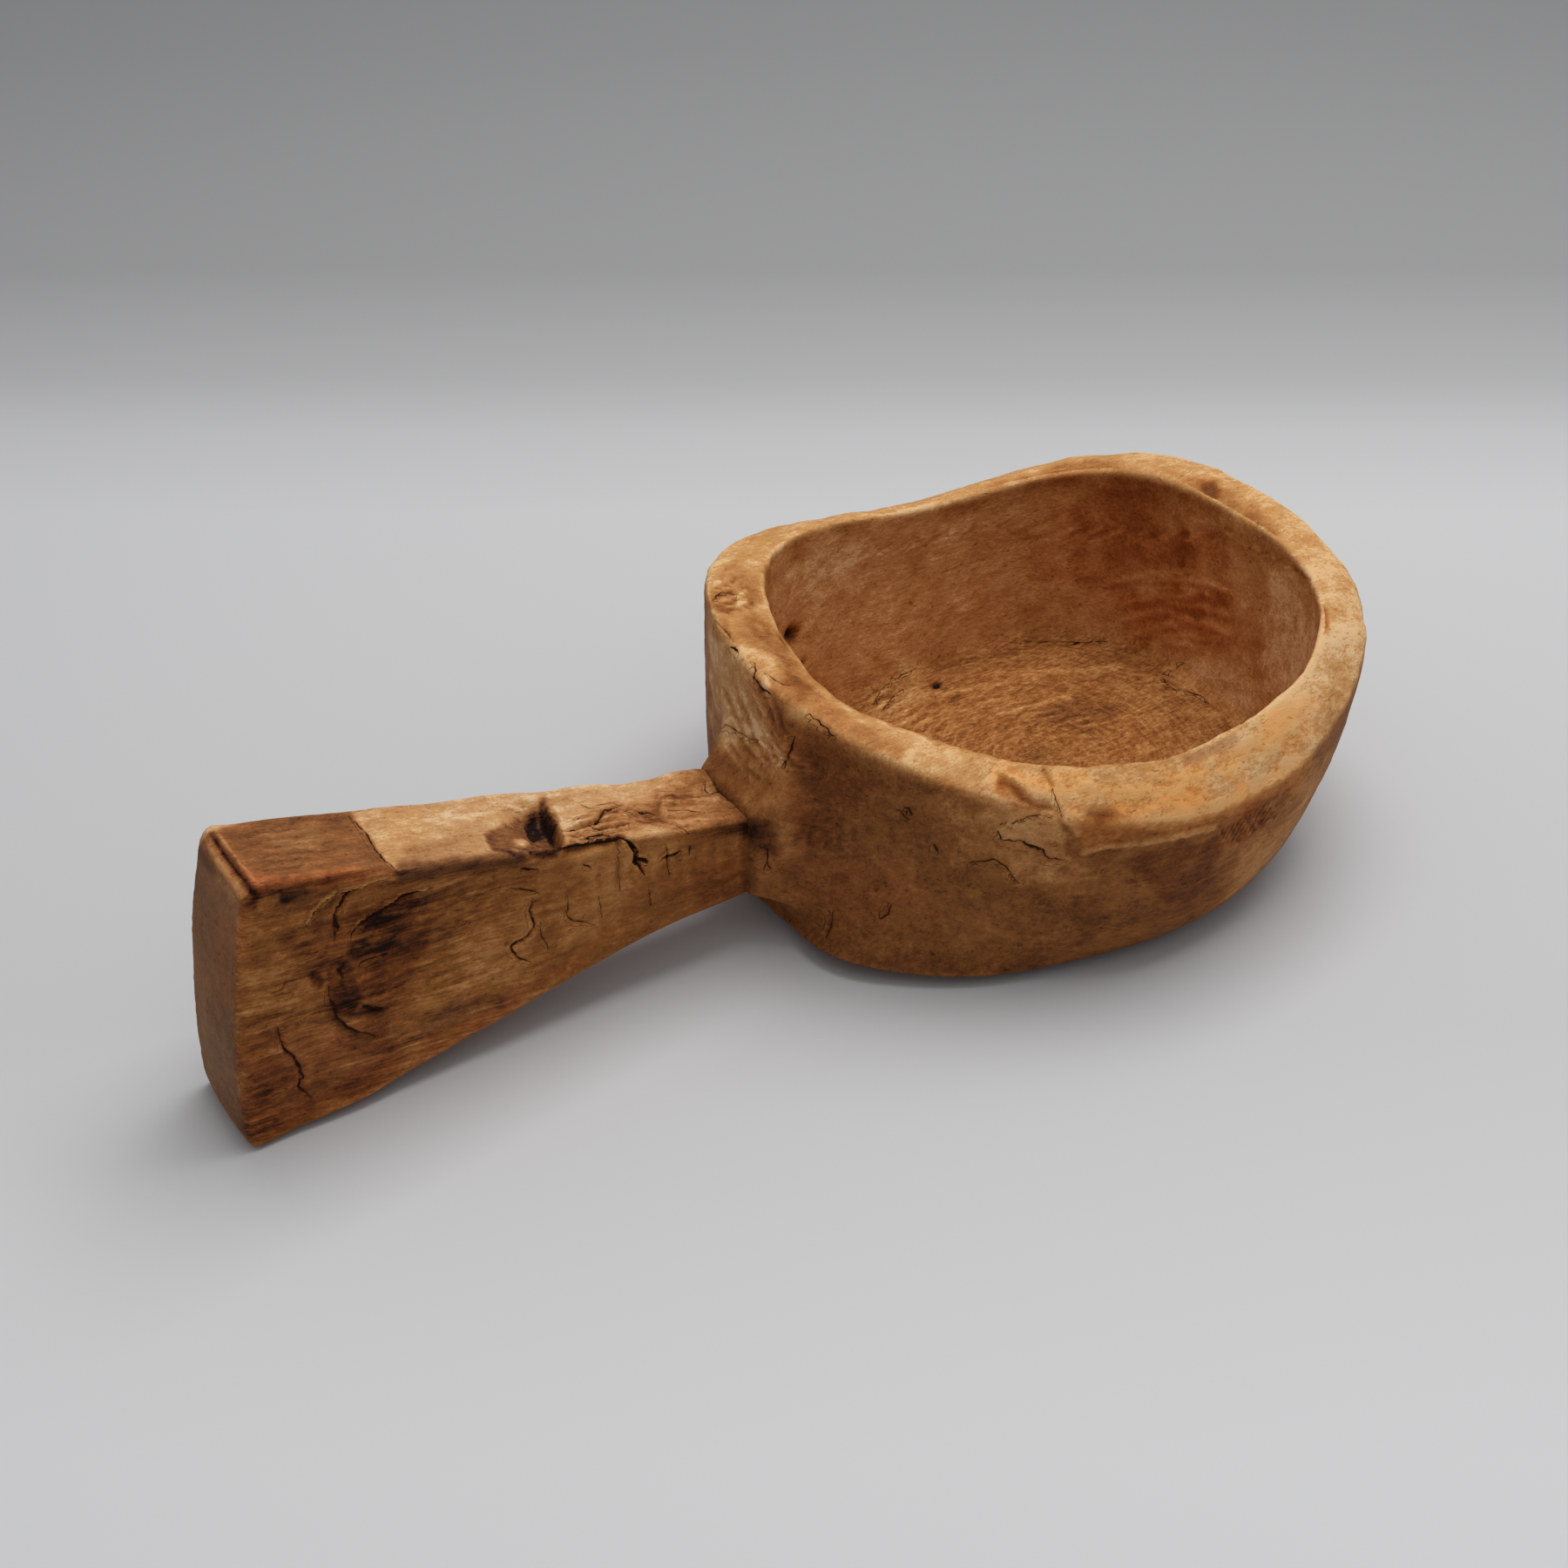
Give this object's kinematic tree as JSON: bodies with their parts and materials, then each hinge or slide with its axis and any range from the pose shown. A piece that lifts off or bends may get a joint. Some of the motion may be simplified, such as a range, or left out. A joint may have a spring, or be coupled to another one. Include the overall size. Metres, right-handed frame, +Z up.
{
  "type": "wooden dipper",
  "caption": "Hand-carved wooden water dipper: thick-walled oval bowl with a flat base and a short handle that flares to a tall blunt end.",
  "frame": {"origin": "on the flat base of the bowl, below the middle of the hollow", "axes": "+X along the dipper away from the handle, -Y the near side in the picture, +Z up out of the hollow"},
  "size_m": [0.3445, 0.1558, 0.0796],
  "materials": {
    "bowl_wood": "bare carved hardwood, honey to reddish brown, worn and oiled by use",
    "handle_wood": "bare carved hardwood, golden with dark brown streaks and old cracks",
    "wedge_wood": "split dry hardwood, hidden in the joint"
  },
  "bodies": {
    "root": {"bowl": "bowl_wood", "handle": "handle_wood", "tenon_wedge": "wedge_wood"}
  },
  "joints": []
}
